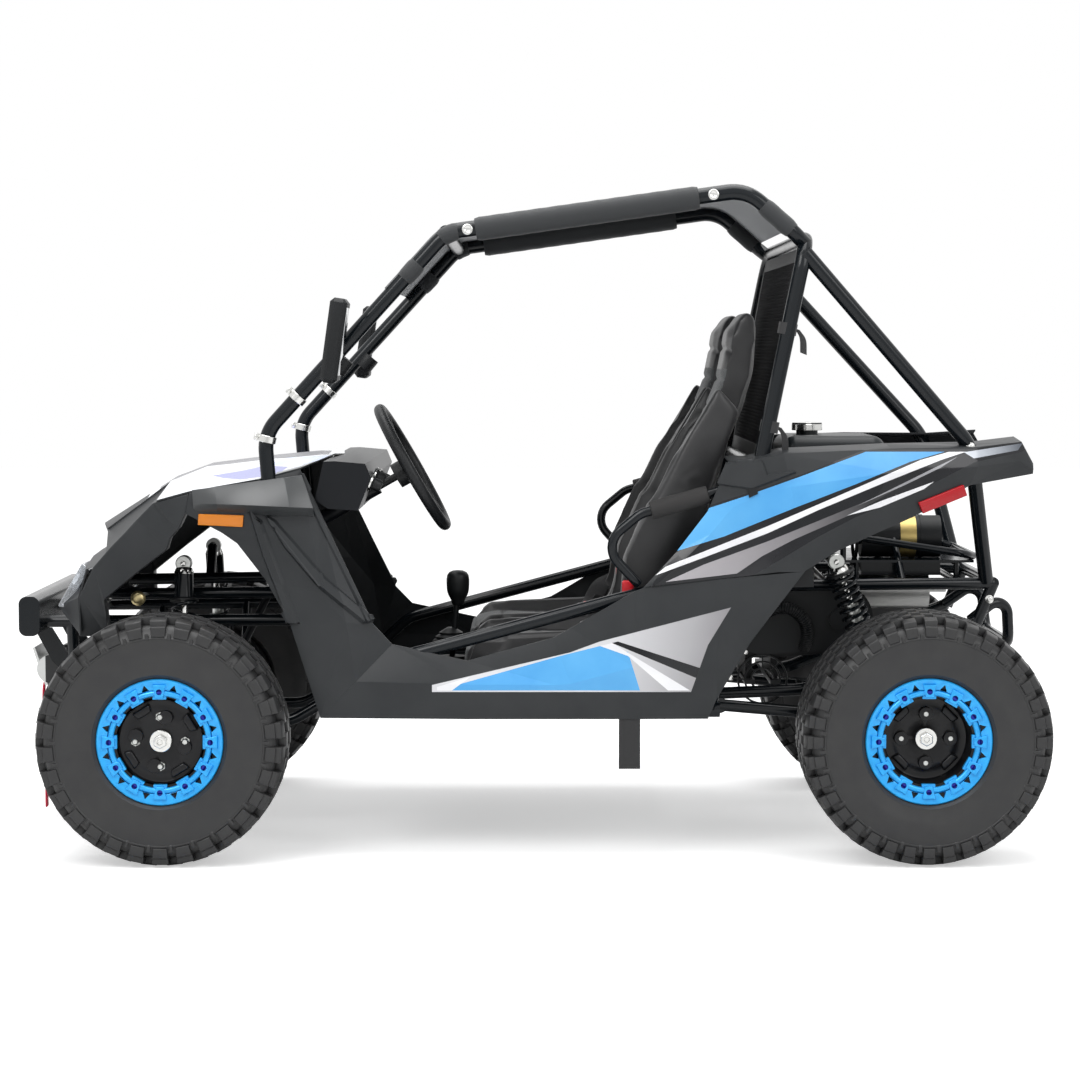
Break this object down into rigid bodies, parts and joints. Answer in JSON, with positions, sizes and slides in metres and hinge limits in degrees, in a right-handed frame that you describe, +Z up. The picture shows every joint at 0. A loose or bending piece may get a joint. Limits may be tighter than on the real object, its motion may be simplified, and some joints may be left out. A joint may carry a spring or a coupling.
{
  "type": "two-seat off-road dune buggy",
  "caption": "Two-seat off-road buggy with a tube cage, faceted plastic panels, knobbly tyres, a soft roof and rack-and-pinion steering.",
  "frame": {"origin": "on the ground under the middle of the outline", "axes": "+X forward, +Y to the left, +Z up"},
  "size_m": [2.359, 1.33, 1.5177],
  "materials": {
    "frame_black": "gloss black powder coat",
    "steel_plate": "satin black paint",
    "winch_alloy": "polished",
    "machined_steel": "machined",
    "shock_steel": "satin, black coils",
    "rim_blue": "black wheel with a blue outer ring",
    "tyre": "moulded rubber",
    "panel_white": "gloss white",
    "panel_black": "gloss black",
    "moulded_black": "grained black",
    "lens": "clear",
    "seat_cover": "grained black cover",
    "foam": "closed-cell foam",
    "roof_fabric": "coated fabric",
    "mesh_fabric": "open mesh",
    "engine_alloy": "cast",
    "exhaust_steel": "satin"
  },
  "bodies": {
    "chassis": {"air_cleaner": "moulded_black", "armrest_pads": "foam", "controls": "steel_plate", "dash_panel": "moulded_black", "engine": "engine_alloy", "exhaust": "exhaust_steel", "floor_frame": "frame_black", "floor_pan": "steel_plate", "front_arms": "steel_plate", "front_bumper": "steel_plate", "front_crossbars": "frame_black", "front_fender_left": "panel_black", "front_fender_right": "panel_black", "front_frame": "frame_black", "front_shocks": "shock_steel", "fuel_tank": "moulded_black", "headlights": "lens", "hood": "panel_white", "mesh_panel": "mesh_fabric", "mirrors": "moulded_black", "nose_panel": "panel_black", "rear_fender_left": "panel_black", "rear_fender_right": "panel_black", "rear_frame": "frame_black", "rear_rack": "frame_black", "rear_shocks": "shock_steel", "roll_cage": "frame_black", "roof_cover": "roof_fabric", "seat_left": "seat_cover", "seat_right": "seat_cover", "side_panel_left": "panel_black", "side_panel_right": "panel_black", "sill_panel_left": "panel_black", "sill_panel_right": "panel_black", "steering_column": "steel_plate", "swing_arm": "frame_black", "winch": "winch_alloy"},
    "steering_wheel": {"steering_wheel": "moulded_black"},
    "tie_rods": {"tie_rods": "machined_steel"},
    "knuckle_left": {"knuckle_left": "machined_steel"},
    "knuckle_right": {"knuckle_right": "machined_steel"},
    "front_wheel_left": {"front_hub_left": "machined_steel", "front_rim_left": "rim_blue", "front_tyre_left": "tyre"},
    "front_wheel_right": {"front_hub_right": "machined_steel", "front_rim_right": "rim_blue", "front_tyre_right": "tyre"},
    "rear_axle": {"rear_axle": "machined_steel", "rear_rim_left": "rim_blue", "rear_rim_right": "rim_blue", "rear_tyre_left": "tyre", "rear_tyre_right": "tyre"}
  },
  "joints": [
    {"name": "steering", "type": "hinge", "parent": "chassis", "child": "steering_wheel", "pos_m": [0.258, 0.235, 0.87], "axis": [-0.8704, 0, 0.4923], "range_deg": [-150, 150]},
    {"name": "rack_slide", "type": "slide", "parent": "chassis", "child": "tie_rods", "axis": [0, 1, 0], "range_m": [-0.0328, 0.0328]},
    {"name": "steer_left", "type": "hinge", "parent": "chassis", "child": "knuckle_left", "pos_m": [0.8, 0.5, 0.2795], "axis": [0, 0, 1], "range_deg": [-25.01, 25.01]},
    {"name": "steer_right", "type": "hinge", "parent": "chassis", "child": "knuckle_right", "pos_m": [0.8, -0.5, 0.2795], "axis": [0, 0, 1], "range_deg": [-25.01, 25.01]},
    {"name": "front_spin_left", "type": "hinge", "parent": "knuckle_left", "child": "front_wheel_left", "pos_m": [0.8, 0.576, 0.2795], "axis": [0, 1, 0], "continuous": true},
    {"name": "front_spin_right", "type": "hinge", "parent": "knuckle_right", "child": "front_wheel_right", "pos_m": [0.8, -0.576, 0.2795], "axis": [0, 1, 0], "continuous": true},
    {"name": "rear_spin", "type": "hinge", "parent": "chassis", "child": "rear_axle", "pos_m": [-0.9, 0, 0.2795], "axis": [0, 1, 0], "continuous": true}
  ],
  "couplings": [
    {"joint": "steer_left", "follows": "steering", "ratio": 0.16667},
    {"joint": "steer_right", "follows": "steering", "ratio": 0.16667},
    {"joint": "rack_slide", "follows": "steering", "m_per_rad": -0.0125}
  ]
}
